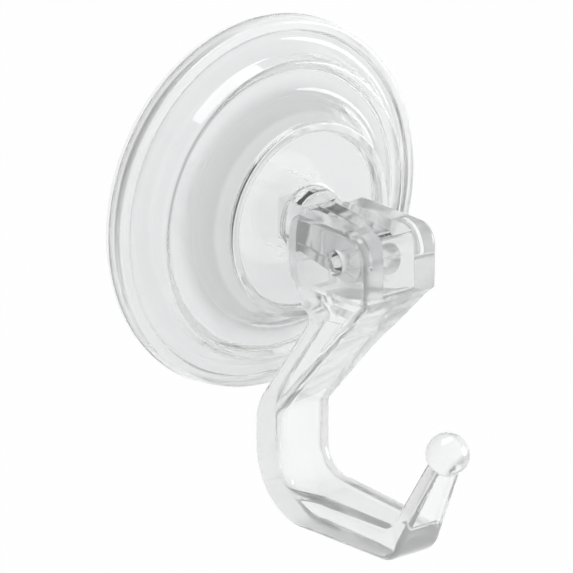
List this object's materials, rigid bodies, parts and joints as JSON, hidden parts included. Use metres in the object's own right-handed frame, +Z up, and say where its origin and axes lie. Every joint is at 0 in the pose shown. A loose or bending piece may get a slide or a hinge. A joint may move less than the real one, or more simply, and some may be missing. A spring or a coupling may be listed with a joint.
{
  "type": "suction cup hook",
  "caption": "Clear lever-lock suction cup hook: a soft cup under a stepped round cap, with a hinged lever that locks the cup and ends in a hook with a ball tip.",
  "frame": {"origin": "centre of the suction cup's sealing ring, in the plane of the wall that it seals on", "axes": "+Z up when mounted on a wall, +Y into the wall along the cup's axis, +X across; the hook hangs towards -Z and opens towards -Y"},
  "size_m": [0.0692, 0.0575, 0.0909],
  "materials": {
    "soft_clear": "clear soft vinyl, smooth",
    "rigid_clear": "clear, glossy"
  },
  "bodies": {
    "base": {"pressure_cap": "rigid_clear", "suction_cup": "soft_clear"},
    "stud": {"anchor_stud": "rigid_clear", "pivot_pin": "rigid_clear"},
    "lever": {"lever_hook": "rigid_clear"}
  },
  "joints": [
    {"name": "stud_draw", "type": "slide", "parent": "base", "child": "stud", "axis": [0, 1, 0], "range_m": [0, 0.0008]},
    {"name": "lever_hinge", "type": "hinge", "parent": "stud", "child": "lever", "pos_m": [0, -0.032, -0.0018], "axis": [-1, 0, 0], "range_deg": [0, 90]}
  ],
  "couplings": [
    {"joint": "stud_draw", "follows": "lever_hinge", "m_per_rad": 0.000509}
  ]
}
